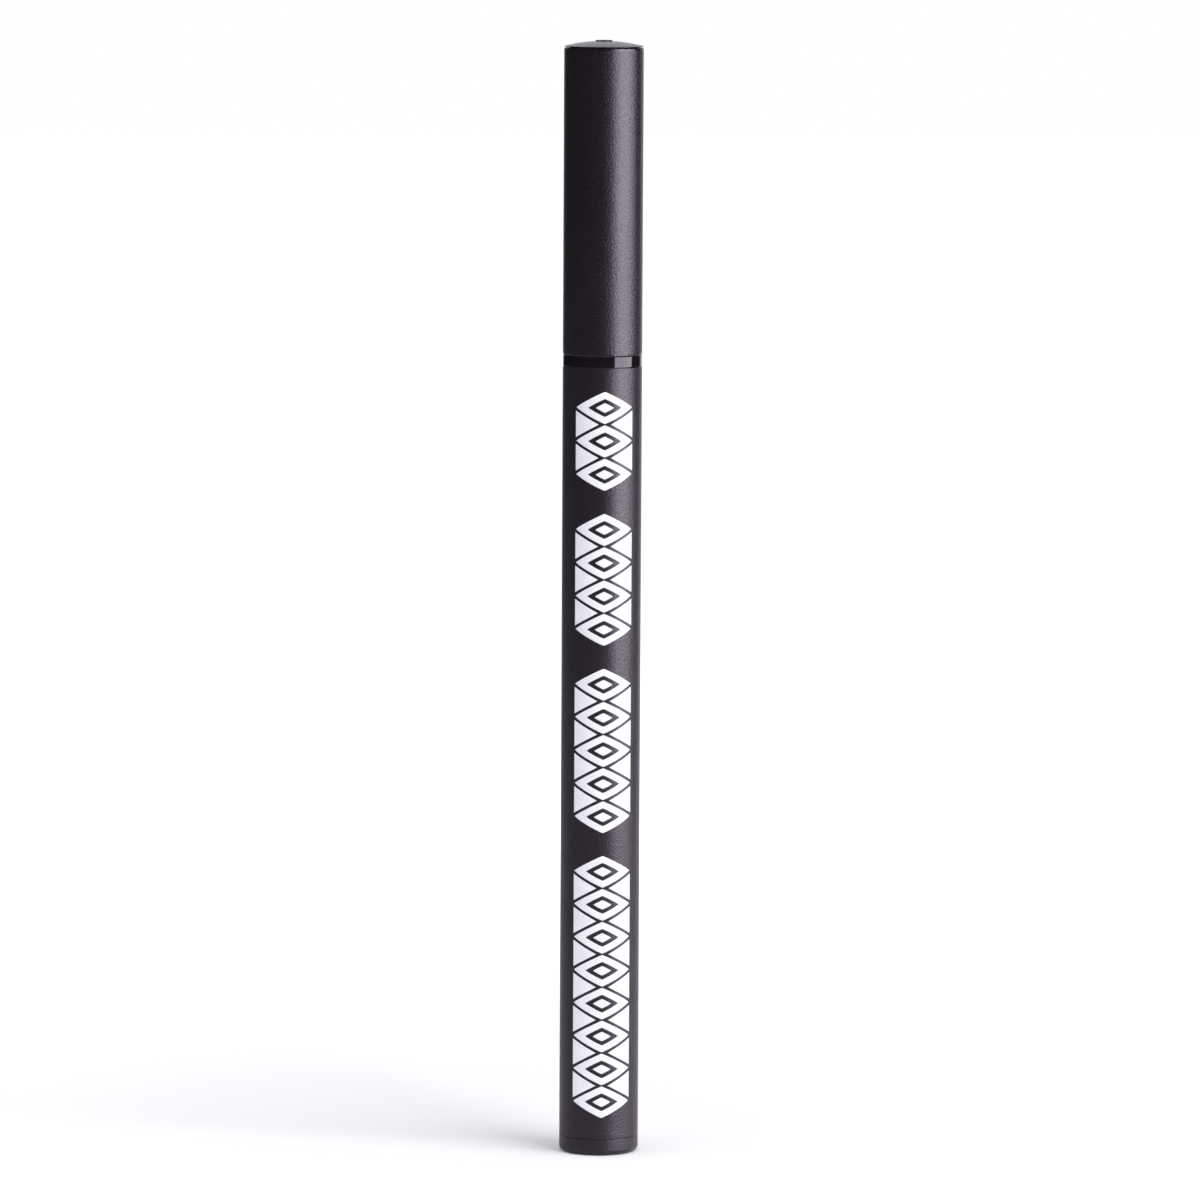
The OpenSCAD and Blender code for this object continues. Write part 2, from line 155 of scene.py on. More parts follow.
# Print on the barrel
INK = 0.02  # thickness of the film
INK_SUNK = 0.01  # how far its underside lies in the barrel
PRINT_TURN = 4.0  # degrees that the print's middle lies to the right of the front
PRINT_TOP = 95.2
PRINT_HALF = 3.85  # half the print's width, along the barrel's side
LOZENGE_H = 4.12
LOZENGE_CLEAR = (0.1, 0.08)  # how far a lozenge stays in from its cell, across and along
PANEL_GAP = 2.69
PANELS = (3, 4, 5, 8)  # lozenges in each panel, from the top
RING_HOLE = 0.56  # share of a lozenge that its ring leaves open
CORE = 0.3  # share of a lozenge that its core fills
WEDGE_GAP = 0.36  # between a triangle and the lozenges beside it

# ---- Shapes --------------------------------------------------------------------------------------


def arc_radius(length, drop):
    """Radius of the arc that starts along a straight side and has dropped by drop after length.

    For a length l and a drop d it is (l*l + d*d) / 2d.
    """
    return (length * length + drop * drop) / (2 * drop)


def rounded(corners, closed=True, steps=6, hold=0.05):
    """Half section with its corners rounded, as rows of radius, height and edge.

    Each corner is (radius, height, size). Its arc has that size as radius and touches both sides:
    it starts at size / tan(half the corner's angle) from the corner, and turns evenly in steps. A
    point held a little way along each side keeps the flats flat. Edge is 1 on an arc, and 0 on the
    flats. A corner of size 0 stays sharp.
    """
    points = np.array([c[:2] for c in corners], float)
    rows = []
    for i, (r, z, size) in enumerate(corners):
        here = points[i]
        if size <= 0 or (not closed and i in (0, len(corners) - 1)):
            rows.append([[r, z, 0.0]])
            continue
        back, ahead = points[i - 1] - here, points[(i + 1) % len(points)] - here
        reach = [np.linalg.norm(back), np.linalg.norm(ahead)]
        back, ahead = back / reach[0], ahead / reach[1]
        half = 0.5 * math.acos(np.clip(back @ ahead, -1, 1))
        size = min(size, 0.45 * min(reach) * math.tan(half))
        start = size / math.tan(half)
        middle = here + (back + ahead) / np.linalg.norm(back + ahead) * size / math.sin(half)
        share = np.linspace(0, 1, steps + 1)[:, None]
        first, last = here + back * start - middle, here + ahead * start - middle
        sweep = math.pi - 2 * half
        blend = np.sin((1 - share) * sweep) * first + np.sin(share * sweep) * last
        arc = middle + blend / math.sin(sweep)
        held = [here + side * min(start + hold, 0.5 * length)
                for side, length in zip((back, ahead), reach)]
        rows.append([[*held[0], 0.0]])
        rows.append(np.column_stack([arc, np.ones(steps + 1)]))
        rows.append([[*held[1], 0.0]])
    return np.concatenate([np.asarray(r, float).reshape(-1, 3) for r in rows])


def surface(name, grids, wrap_rows, edge=None):
    """Mesh of one or more grids of points, given as parts x rows x columns x 3, in mm.

    Each cell is a quad. Columns close on themselves, and so do rows where wrap_rows is true. A row
    whose points all meet is a pole: it gets one vertex, and its cells become triangles. The signed
    volume, the sum of a . (b x c) / 6 over the triangles, says whether the faces have to be turned
    to point outwards.
    """
    grids = np.asarray(grids, float)
    parts, rows, columns = grids.shape[:3]
    index = np.arange(parts * rows * columns).reshape(parts, rows, columns)
    pole = np.ptp(grids, axis=2).max(axis=-1) < 1e-9
    index = np.where(pole[:, :, None], index[:, :, :1], index)
    beside = np.roll(index, -1, axis=2)
    above, above_beside = np.roll(index, -1, axis=1), np.roll(beside, -1, axis=1)
    quads = np.stack([index, beside, above_beside, above], axis=-1)
    if not wrap_rows:
        quads = quads[:, :-1]
    quads = quads.reshape(-1, 4)
    flat_foot, flat_top = quads[:, 0] == quads[:, 1], quads[:, 2] == quads[:, 3]
    triangles = np.concatenate([
        quads[flat_foot & ~flat_top][:, [0, 2, 3]], quads[flat_top & ~flat_foot][:, [0, 1, 2]]])
    quads = quads[~flat_foot & ~flat_top]
    points = grids.reshape(-1, 3)
    pieces = np.concatenate([quads[:, [0, 1, 2]], quads[:, [0, 2, 3]], triangles])
    a, b, c = (points[pieces[:, k]] for k in range(3))
    if np.einsum("ij,ij->i", a, np.cross(b, c)).sum() < 0:
        quads, triangles = quads[:, ::-1], triangles[:, ::-1]
    used, where = np.unique(np.concatenate([quads.ravel(), triangles.ravel()]), return_inverse=True)
    quads, triangles = where[: quads.size].reshape(-1, 4), where[quads.size:].reshape(-1, 3)
    mesh = bpy.data.meshes.new(name)
    mesh.from_pydata((points[used] / 1000).tolist(), [], quads.tolist() + triangles.tolist())
    mesh.polygons.foreach_set("use_smooth", np.ones(len(mesh.polygons), bool))
    if edge is not None:
        values = np.broadcast_to(np.asarray(edge, float)[None, :, None], index.shape).ravel()[used]
        data = mesh.attributes.new("edge", "FLOAT", "POINT").data
        data.foreach_set("value", values.astype(np.float32))
    mesh.update()
    return mesh


def carried(r, z, turn):
    """Points carried round the axis, rows by turns: x = r cos(a), y = r sin(a), z = z."""
    return np.stack([r * np.cos(turn), r * np.sin(turn), np.repeat(z, len(turn), 1)], -1)


def turned(name, section, closed=True, segments=256):
    """Half section carried round the axis. Its edge values go on the mesh."""
    turn = np.arange(segments) * 2 * math.pi / segments
    r, z, edge = section.T
    return surface(name, carried(r[:, None], z[:, None], turn)[None], closed, edge)


def read(items, field, width=1, kind=np.float32):
    """One field of a mesh's items as an array, with width values for each item."""
    values = np.empty(len(items) * width, kind)
    items.foreach_get(field, values)
    return values.reshape(-1, width) if width > 1 else values


def joined(name, *meshes):
    """One mesh of several, vertices and faces side by side."""
    points, faces, edges, start = [], [], [], 0
    for mesh in meshes:
        points.append(read(mesh.vertices, "co", 3))
        corners = start + read(mesh.loops, "vertex_index", kind=np.int32)
        faces += np.split(corners, read(mesh.polygons, "loop_start", kind=np.int32)[1:])
        edges.append(read(mesh.attributes["edge"].data, "value"))
        start += len(mesh.vertices)
    whole = bpy.data.meshes.new(name)
    whole.from_pydata(np.concatenate(points).tolist(), [], [face.tolist() for face in faces])
    whole.polygons.foreach_set("use_smooth", np.ones(len(faces), bool))
    whole.attributes.new("edge", "FLOAT", "POINT").data.foreach_set("value", np.concatenate(edges))
    whole.update()
    return whole


def curve_section(line):
    """Rows of radius and height as section rows, with no edge on them."""
    line = np.asarray(line, float)
    return np.column_stack([line, np.zeros(len(line))])


def barrel_mesh():
    """Tube with a narrower tank between its two seats: a half section carried round the axis."""
    shoulder = PLUG_END + SPIGOT_LEAD
    return turned("barrel_shell", rounded([
        (OUTER_R, BARREL_FOOT, SEAM),
        (OUTER_R, BARREL_TOP, 0.08),
        (SEAT_R, BARREL_TOP, SOFT),
        (SEAT_R, TANK_TOP, SOFT),
        (TANK_R, TANK_TOP, SOFT),
        (TANK_R, shoulder, SOFT),
        (SEAT_R, shoulder, SOFT),
        (SEAT_R, BARREL_FOOT, SOFT),
    ]))


def tail_plug_mesh():
    """Lip with a gate dimple under it, and a spigot with a ring groove and the ball's well.

    A half section that starts and ends on the axis, carried round it.
    """
    ring = (BARREL_FOOT + PLUG_END) / 2
    low, high = ring - GROOVE_H / 2, ring + GROOVE_H / 2
    lip_top = BARREL_FOOT - GAP
    return turned("tail_plug_shell", rounded([
        (0, GATE_DEPTH, 0),
        (GATE_R, GATE_DEPTH, 0.05),
        (GATE_R, 0, 0.05),
        (OUTER_R, 0, FOOT_ROUND),
        (OUTER_R, lip_top, SEAM),
        (SPIGOT_R, lip_top, SOFT),
        (SPIGOT_R, low, SOFT),
        (GROOVE_R, low, SOFT),
        (GROOVE_R, high, SOFT),
        (SPIGOT_R, high, SOFT),
        (SPIGOT_R, PLUG_END - SPIGOT_LEAD, SOFT),
        (SPIGOT_R - SPIGOT_LEAD, PLUG_END, SOFT),
        (SPIGOT_BORE_R, PLUG_END, SOFT),
        (SPIGOT_BORE_R, WELL_FLOOR, 0.25),
        (0, WELL_FLOOR, 0),
    ], closed=False, steps=8), closed=False)


def nose_line():
    """Nose: an arc that starts straight up the land's step and ends in a smaller arc at the tip.

    Along the long arc r = r0 - R + sqrt(R*R - (z - z0)**2), up to where the tip's circle touches it
    from inside.
    """
    arc = arc_radius(NOSE_TIP - NOSE_Z, NOSE_R - NOSE_TIP_R)
    round_z = NOSE_TIP - NOSE_ROUND
    round_r = NOSE_R - arc + math.sqrt((arc - NOSE_ROUND) ** 2 - (round_z - NOSE_Z) ** 2)
    meet = NOSE_Z + arc * (round_z - NOSE_Z) / (arc - NOSE_ROUND)
    z = np.linspace(NOSE_Z + NOSE_STEP + 0.1, meet, 40)
    long_arc = np.column_stack([NOSE_R - arc + np.sqrt(arc ** 2 - (z - NOSE_Z) ** 2), z])
    tilt = np.linspace(math.asin((round_z - NOSE_Z) / (arc - NOSE_ROUND)), math.pi / 2, 14)[1:]
    tip = np.column_stack([
        round_r + NOSE_ROUND * np.cos(tilt), round_z + NOSE_ROUND * np.sin(tilt)])
    return np.concatenate([long_arc, tip])


def bead_line():
    """Snap bead: the arc of a circle that stands out of the neck most at its middle.

    At a height z from there, r = r0 - R + sqrt(R*R - z*z).
    """
    bulge = arc_radius(BEAD_H / 2, BEAD_R - NECK_R)
    z = np.linspace(-BEAD_H / 2, BEAD_H / 2, 25)
    return np.column_stack([BEAD_R - bulge + np.sqrt(bulge ** 2 - z ** 2), BEAD_Z + z])


def front_mesh():
    """Spigot, collar, neck with bead, sealing land and nose, bored for collector, pipe and nib.

    A half section carried round the axis, with the ribs beside it.
    """
    ring = (SPIGOT_END + BARREL_TOP) / 2
    low, high = ring - GROOVE_H / 2, ring + GROOVE_H / 2
    collar_top, collar_r = MOUTH - GAP, COLLAR_R + COLLAR_OUT
    outside = rounded([
        (SPIGOT_BORE_R, SPIGOT_END, 0),
        (SPIGOT_R - SPIGOT_LEAD, SPIGOT_END, SOFT),
        (SPIGOT_R, SPIGOT_END + SPIGOT_LEAD, SOFT),
        (SPIGOT_R, low, SOFT),
        (GROOVE_R, low, SOFT),
        (GROOVE_R, high, SOFT),
        (SPIGOT_R, high, SOFT),
        (SPIGOT_R, BARREL_TOP + GAP, SOFT),
        (collar_r, BARREL_TOP + GAP, 0.05),
        (collar_r, collar_top, 0.06),
        (NECK_R, collar_top, 0.1),
        (NECK_R, BEAD_Z - BEAD_H / 2 - 0.1, 0),
    ], closed=False)
    land = rounded([
        (NECK_R, BEAD_Z + BEAD_H / 2 + 0.1, 0),
        (NECK_R, LAND_Z - LAND_STEP, 0.15),
        (LAND_R, LAND_Z, 0.15),
        (LAND_R, NOSE_Z, 0.08),
        (NOSE_R, NOSE_Z + NOSE_STEP, 0.04),
        (NOSE_R, NOSE_Z + NOSE_STEP + 0.09, 0),
    ], closed=False)
    inside = rounded([
        (NIB_BORE_R + 0.3, NOSE_TIP, 0),
        (NIB_BORE_R, NOSE_TIP, 0.08),
        (NIB_BORE_R, PIPE_TOP, SOFT),
        (PIPE_BORE_R, PIPE_TOP, SOFT),
        (PIPE_BORE_R, NOSE_Z, SOFT),
        (SPIGOT_BORE_R, NOSE_Z, SOFT),
        (SPIGOT_BORE_R, SPIGOT_END + 0.1, 0),
    ], closed=False)
    section = np.concatenate([
        outside, curve_section(bead_line()), land, curve_section(nose_line()), inside])
    return joined("front_shell", turned("front_body", section), rib_mesh())


def rib_mesh():
    """Ribs in the neck's bore, which hold the pipe.

    Each is a box, turned by an even share of a turn from the last. A row of size 0 closes each end
    on a pole.
    """
    inner, outer, half = PIPE_BORE_R, SPIGOT_BORE_R + 0.05, RIB_W / 2
    across = np.array([[inner, -half], [outer, -half], [outer, half], [inner, half]])
    turn = (np.arange(RIBS) * 2 * math.pi / RIBS)[:, None]
    x = across[:, 0] * np.cos(turn) - across[:, 1] * np.sin(turn)
    y = across[:, 0] * np.sin(turn) + across[:, 1] * np.cos(turn)
    corners = np.stack([x, y], -1)
    middle = corners.mean(1, keepdims=True)
    rows = []
    for height, size in ((PIPE_FOOT, 0), (PIPE_FOOT, 1), (NOSE_Z, 1), (NOSE_Z, 0)):
        rows.append(np.dstack([middle + size * (corners - middle), np.full_like(x, height)]))
    return surface("front_ribs", np.stack(rows, 1), False, np.zeros(4))


def cap_mesh():
    """Sleeve, open at both ends: a snap lip in the mouth, and a ledge that stops the sealing cup.

    A half section carried round the axis. Its top edge is cut back, which leaves a dark line all
    round under the crown.
    """
    ledge_foot = LEDGE_TOP - LEDGE_H
    return turned("cap_shell", rounded([
        (OUTER_R, MOUTH, EDGE),
        (OUTER_R, SLEEVE_TOP - SEAM_CUT, 0.07),
        (OUTER_R - SEAM_DEPTH, SLEEVE_TOP - SEAM_CUT, 0.01),
        (OUTER_R - SEAM_DEPTH - GAP, SLEEVE_TOP, 0.01),
        (CAP_BORE_R, SLEEVE_TOP, SOFT),
        (CAP_BORE_R, LEDGE_TOP, SOFT),
        (LEDGE_R, LEDGE_TOP, SOFT),
        (LEDGE_R, ledge_foot, SOFT),
        (MOUTH_R, ledge_foot, SOFT),
        (MOUTH_R, LIP_TOP, SOFT),
        (LIP_R, LIP_TOP - 0.12, SOFT),
        (LIP_R, MOUTH + 0.3, 0.06),
        (LIP_R + 0.3, MOUTH, 0.05),
    ], hold=0.25))


def crown_mesh():
    """Domed hollow plug with a low lip round its vent: a half section carried round the axis.

    The dome is the arc r*r + (z - z0)**2 = R*R about the axis, and a small arc turns it down into
    the side.
    """
    top = SLEEVE_TOP + DOME_RISE
    dome = arc_radius(OUTER_R, DOME_DROP)
    centre = top - dome
    round_r = OUTER_R - DOME_ROUND
    round_z = centre + math.sqrt((dome - DOME_ROUND) ** 2 - round_r ** 2)
    lean = math.asin(round_r / (dome - DOME_ROUND))
    tilt = np.linspace(0, math.pi / 2 - lean, 8)
    shoulder = np.column_stack([
        round_r + DOME_ROUND * np.cos(tilt), round_z + DOME_ROUND * np.sin(tilt),
        np.ones_like(tilt)])
    r = np.linspace(shoulder[-1, 0] - 0.05, VENT_FLAT_R, 40)
    vault = curve_section(np.column_stack([r, centre + np.sqrt(dome ** 2 - r ** 2)]))
    roof, plug = SLEEVE_TOP - CROWN_ROOF, SLEEVE_TOP - CROWN_PLUG_LEN
    spigot, lead = CAP_BORE_R - GAP, 0.1
    hole = rounded([
        (VENT_FLAT_R, vault[-1, 1], 0),
        (VENT_LIP_R, vault[-1, 1], 0.01),
        (VENT_LIP_R, top + VENT_LIP_H, 0.015),
        (VENT_R, top + VENT_LIP_H, 0.015),
        (VENT_R, roof, SOFT),
        (CROWN_HOLLOW_R, roof, 0.1),
        (CROWN_HOLLOW_R, plug, SOFT),
        (spigot - lead, plug, SOFT),
        (spigot, plug + lead, SOFT),
        (spigot, SLEEVE_TOP + GAP, 0.01),
        (OUTER_R - SEAM_DEPTH, SLEEVE_TOP + GAP, 0.01),
        (OUTER_R - 0.01, round_z - 0.015, 0),
    ], closed=False)
    return turned("crown_shell", np.concatenate([shoulder, vault, hole[1:]]))


def cup_mesh():
    """Sealing cup: a skirt round the land, a flange on the ledge, and a tapered, closed body.

    A half section that starts and ends on the axis, carried round it.
    """
    flange = SKIRT_FOOT + SKIRT_LEN
    flange_top = flange + FLANGE_H
    return turned("sealing_cup_shell", rounded([
        (0, CUP_TOP, 0),
        (CUP_TOP_R, CUP_TOP, 0.3),
        (CUP_R, flange_top, 0.1),
        (FLANGE_R, flange_top, 0.08),
        (FLANGE_R, flange, 0.08),
        (SKIRT_R, flange, 0.05),
        (SKIRT_R, SKIRT_FOOT, 0.12),
        (SKIRT_BORE_R + 0.1, SKIRT_FOOT, 0.05),
        (SKIRT_BORE_R, SKIRT_FOOT + 0.1, SOFT),
        (SKIRT_BORE_R, flange, 0.1),
        (CUP_R - CUP_WALL, flange_top, 0.1),
        (CUP_TOP_R - CUP_WALL, CUP_TOP - CUP_ROOF, 0.4),
        (0, CUP_TOP - CUP_ROOF, 0),
    ], closed=False), closed=False)


def nib_mesh():
    """Felt nib: a straight tail, an ogive that starts along its side, and a small ball at the tip.

    Along the ogive r = r0 - R + sqrt(R*R - (z - z0)**2). Its skin is drawn in by up to 0.005 mm
    along fibres that wind slowly round it, as pressed felt does.
    """
    tip_r, point_z = NIB_TIP_R, NIB_TIP - NIB_POINT_LEN
    ball_z = NIB_TIP - tip_r
    rise = ball_z - point_z
    arc = (NIB_R ** 2 + rise ** 2 - tip_r ** 2) / (2 * (NIB_R - tip_r))
    meet = point_z + arc * rise / (arc - tip_r)
    tail = rounded([(0, NIB_FOOT, 0), (NIB_R, NIB_FOOT, 0.1), (NIB_R, point_z, 0)], closed=False)
    straight = np.linspace(NIB_FOOT + 0.6, point_z, 60)[1:]
    point = np.linspace(point_z, meet, 90)[1:]
    lean = np.linspace(math.asin(rise / (arc - tip_r)), math.pi / 2, 10)[1:]
    line = np.concatenate([
        np.column_stack([np.full_like(straight, NIB_R), straight]),
        np.column_stack([NIB_R - arc + np.sqrt(arc ** 2 - (point - point_z) ** 2), point]),
        np.column_stack([tip_r * np.cos(lean), ball_z + tip_r * np.sin(lean)]),
    ])
    line[-1, 0] = 0
    section = np.concatenate([tail[:-1], curve_section(line)])
    columns = 160
    turn = np.arange(columns) * 2 * math.pi / columns
    r, z, edge = section.T
    r, z = r[:, None], z[:, None]
    wave = (np.sin(23 * turn + 1.7 * z) + np.sin(37 * turn - 2.3 * z + 1)
            + np.sin(59 * turn + 0.9 * z + 2))
    drawn_in = FIBRE_DEPTH * (1 + wave / 3) * np.clip(r / NIB_R, 0, 1)
    skin = np.where(r <= 0, 0, r - drawn_in * (z > NOSE_TIP))
    return surface("nib_felt", carried(skin, z, turn)[None], False, edge)


def ball_mesh():
    """Ball: r = R cos(t), z = z0 + R sin(t), from pole to pole."""
    t = np.linspace(-math.pi / 2, math.pi / 2, 65)
    line = np.column_stack([BALL_R * np.cos(t), BALL_FOOT + BALL_R + BALL_R * np.sin(t)])
    line[[0, -1], 0] = 0
    return turned("mixing_ball_polished", curve_section(line), closed=False, segments=96)


def spring_mesh():
    """Round wire along a helix.

    The first and last turn climb END_TURN, and those between share the rest evenly. A ring of
    points stands round each point of the wire's line, in the upright plane through the axis. Each
    end closes on a pole.
    """
    a_turn, sides = 64, 16
    t = np.arange(TURNS * a_turn + 1) / a_turn
    foot, top = SPRING_FOOT + WIRE_R, SPRING_TOP - WIRE_R
    inner = TURNS - 2
    pitch = (top - foot - 2 * END_TURN) / inner
    ends_climb = END_TURN * (np.clip(t, 0, 1) + np.clip(t - 1 - inner, 0, 1))
    z = foot + ends_climb + pitch * np.clip(t - 1, 0, inner)
    around = 2 * math.pi * t
    outward = np.stack([np.cos(around), np.sin(around), np.zeros_like(t)], -1)
    line = (SPRING_OUT_R - WIRE_R) * outward
    line[:, 2] = z
    ring = 2 * math.pi * np.arange(sides) / sides
    upward = np.array([0, 0, 1.0])
    across = np.cos(ring)[:, None] * outward[:, None] + np.sin(ring)[:, None] * upward
    grid = line[:, None] + WIRE_R * across
    ends = [np.repeat(line[k][None, None], sides, 1) for k in (0, -1)]
    return surface("cup_spring_wire", np.concatenate([ends[0], grid, ends[1]])[None], False)


def ink_film(name, outlines, step=0.24):
    """Printed films on the barrel, one for each outline.

    Outlines are parts x columns x 2, as length round the barrel and height. Each is drawn in
    towards its middle in even shares, for the film's underside and for its face.
    """
    outlines = np.asarray(outlines, float)
    middle = outlines.mean(1, keepdims=True)
    reach = np.linalg.norm(outlines - middle, axis=-1).max()
    shares = np.linspace(1, 0, max(3, int(reach / step)) + 1)
    rows = [(s, -INK_SUNK) for s in shares[::-1]] + [(1.0, INK * 0.6), (0.985, INK)]
    rows += [(s, INK) for s in shares[1:]]
    return ink_rows(name, [(middle + s * (outlines - middle), h) for s, h in rows], False)


def ink_ring(name, outer, inner, steps=4):
    """Printed films, each between an outer and an inner outline of as many points.

    The row at a share s lies at inner + s (outer - inner).
    """
    outer, inner = np.asarray(outer, float), np.asarray(inner, float)
    shares = np.linspace(0, 1, steps + 1)
    rows = [(s, -INK_SUNK) for s in shares[::-1]] + [(0.0, INK * 0.6), (0.02, INK)]
    rows += [(s, INK) for s in shares[1:-1]] + [(0.98, INK), (1.0, INK * 0.6)]
    return ink_rows(name, [(inner + s * (outer - inner), h) for s, h in rows], True)


def ink_rows(name, rows, wrap):
    """Rows of (length round, height) laid on the barrel's side, each at its height over it.

    A length s round the barrel of radius R is the angle a = s / R, and x = r sin(a), y = -r cos(a),
    where r is R and the row's height over the side.
    """
    flat = np.stack([r for r, _ in rows], 1)
    lift = OUTER_R + np.array([h for _, h in rows])[None, :, None]
    angle = flat[..., 0] / OUTER_R + math.radians(PRINT_TURN)
    grid = np.stack([lift * np.sin(angle), -lift * np.cos(angle), flat[..., 1]], -1)
    return surface(name, grid, wrap, np.zeros(grid.shape[1]))


def lozenge(across, along, columns=96, power=1.07):
    """Outline of a lozenge with just softened corners: |s / across|**p + |z / along|**p = 1."""
    t = np.arange(columns) * 2 * math.pi / columns
    c, s = np.cos(t), np.sin(t)
    scale = (np.abs(c) ** power + np.abs(s) ** power) ** (-1 / power)
    return np.column_stack([across * c * scale, along * s * scale])


def print_mesh():
    """Plain printed lattice: panels of lozenges, each a ring and a core, and triangles beside."""
    above = np.cumsum([n * LOZENGE_H + PANEL_GAP for n in PANELS[:-1]])
    tops = PRINT_TOP - np.concatenate([[0], above])
    heights = np.concatenate([
        top - (np.arange(n) + 0.5) * LOZENGE_H for top, n in zip(tops, PANELS)])
    joints = np.concatenate([top - np.arange(1, n) * LOZENGE_H for top, n in zip(tops, PANELS)])
    place = np.column_stack([np.zeros_like(heights), heights])[:, None]
    whole = lozenge(PRINT_HALF - LOZENGE_CLEAR[0], LOZENGE_H / 2 - LOZENGE_CLEAR[1])
    rings = ink_ring("print_rings", place + whole, place + whole * RING_HOLE)
    cores = ink_film("print_cores", place + whole * CORE)
    wedge = wedge_outline()
    between = np.column_stack([np.zeros_like(joints), joints])[:, None]
    sides = [ink_film("print_wedges", between + wedge * [side, 1]) for side in (-1, 1)]
    return joined("barrel_print", rings, cores, *sides)


def wedge_outline(columns=72):
    """Triangle between two lozenges and the print's side, with points evenly along each side."""
    slope = (LOZENGE_H / 2) / PRINT_HALF
    cut = WEDGE_GAP / math.cos(math.atan(slope))
    tip = cut / slope
    side = PRINT_HALF * slope - cut
    corners = np.array([[tip, 0], [PRINT_HALF, side], [PRINT_HALF, -side]])
    each = columns // len(corners)
    share = (np.arange(each) / each)[:, None]
    return np.concatenate([a + share * (b - a) for a, b in zip(corners, np.roll(corners, -1, 0))])


# ---- Finishes ------------------------------------------------------------------------------------


def linear(hex_colour):
    """sRGB hex as linear red, green, blue and 1.

    Each channel c is c / 12.92 up to 0.04045, and ((c + 0.055) / 1.055)**2.4 above.
    """
    c = np.array([int(hex_colour[i:i + 2], 16) for i in (1, 3, 5)]) / 255
    c = np.where(c <= 0.04045, c / 12.92, ((c + 0.055) / 1.055) ** 2.4)
    return (*c.tolist(), 1.0)


VIOLET = linear("#f8ebff")  # painted violet cast in the blacks' gloss, standing in for the studio light's faint violet tint


def add(tree, kind, inputs=None, **settings):
    """One node of a kind, with its settings, and a value or a linked output for each socket."""
    made = tree.nodes.new("ShaderNode" + kind)
    for name, value in settings.items():
        setattr(made, name, value)
    for name, value in (inputs or {}).items():
        if isinstance(value, bpy.types.NodeSocket):
            tree.links.new(value, made.inputs[name])
        else:
            made.inputs[name].default_value = value
    return made


def finish_of(name):
    """Empty material with its node tree and Object coordinates."""
    material = bpy.data.materials.new(name)
    material.use_nodes = True
    tree = material.node_tree
    tree.nodes.clear()
    where = add(tree, "TexCoord").outputs["Object"]
    return material, tree, where


def matt_plastic(name, dark, light, roughness):
    """ABS moulded against a spark-eroded face, matt black.

    The face leaves a fine even grain, so a lamp shows as one soft band, and the edges that fingers
    and the cap rub are a little smoother. Real grain is about 0.06 mm from peak to peak. It is
    drawn at 0.24 mm, as coarse as it needs to be to show.
    """
    material, tree, where = finish_of(name)
    grain = add(tree, "TexNoise", {
        "Vector": where, "Scale": 1 / 0.00024, "Detail": 2.0, "Roughness": 0.6,
    })
    cloud = add(tree, "TexNoise", {
        "Vector": where, "Scale": 1 / 0.009, "Detail": 3.0, "Roughness": 0.55,
    })
    edge = add(tree, "Attribute", attribute_name="edge")
    colour = add(tree, "Mix", {
        0: cloud.outputs[0], 6: linear(dark), 7: linear(light),
    }, data_type="RGBA")
    body = add(tree, "MapRange", {
        0: cloud.outputs[0], 1: 0.3, 2: 0.7, 3: roughness, 4: roughness + 0.03,
    })
    fine = add(tree, "MapRange", {0: grain.outputs[0], 1: 0.3, 2: 0.7, 3: -0.03, 4: 0.03})
    both = add(tree, "Math", {0: body.outputs[0], 1: fine.outputs[0]}, operation="ADD")
    rubbed = add(tree, "Math", {
        0: edge.outputs["Fac"], 1: -0.25, 2: both.outputs[0],
    }, operation="MULTIPLY_ADD")
    bump = add(tree, "Bump", {"Height": grain.outputs[0], "Strength": 1.0, "Distance": 0.00005})
    shader = add(tree, "BsdfPrincipled", {
        "Base Color": colour.outputs[2], "Roughness": rubbed.outputs[0],
        "IOR": 1.6, "Normal": bump.outputs[0],
        # Specular Tint: the painted violet cast of the light, in this black's gloss
        "Specular Tint": VIOLET,
    })
    add(tree, "OutputMaterial", {"Surface": shader.outputs[0]})
    return material


def gloss_plastic():
    """ABS moulded against a polished face, gloss black.

    Lamps show in it as sharp shapes, with a faint moulding ripple.
    """
    material, tree, where = finish_of("polished_black_abs")
    stretch = add(tree, "Mapping", {"Vector": where, "Scale": (1.0, 1.0, 0.3)})
    ripple = add(tree, "TexNoise", {
        "Vector": stretch.outputs[0], "Scale": 1 / 0.0022, "Detail": 2.0,
    })
    shade = add(tree, "Mix", {
        0: ripple.outputs[0], 6: linear("#141015"), 7: linear("#19151a"),
    }, data_type="RGBA")
    rough = add(tree, "MapRange", {0: ripple.outputs[0], 1: 0.3, 2: 0.7, 3: 0.05, 4: 0.09})
    bump = add(tree, "Bump", {"Height": ripple.outputs[0], "Strength": 0.05, "Distance": 0.00005})
    shader = add(tree, "BsdfPrincipled", {
        "Base Color": shade.outputs[2], "Roughness": rough.outputs[0],
        "IOR": 1.45, "Normal": bump.outputs[0],
        # Specular Tint: the painted violet cast of the light, in this black's gloss
        "Specular Tint": VIOLET,
    })
    add(tree, "OutputMaterial", {"Surface": shader.outputs[0]})
    return material


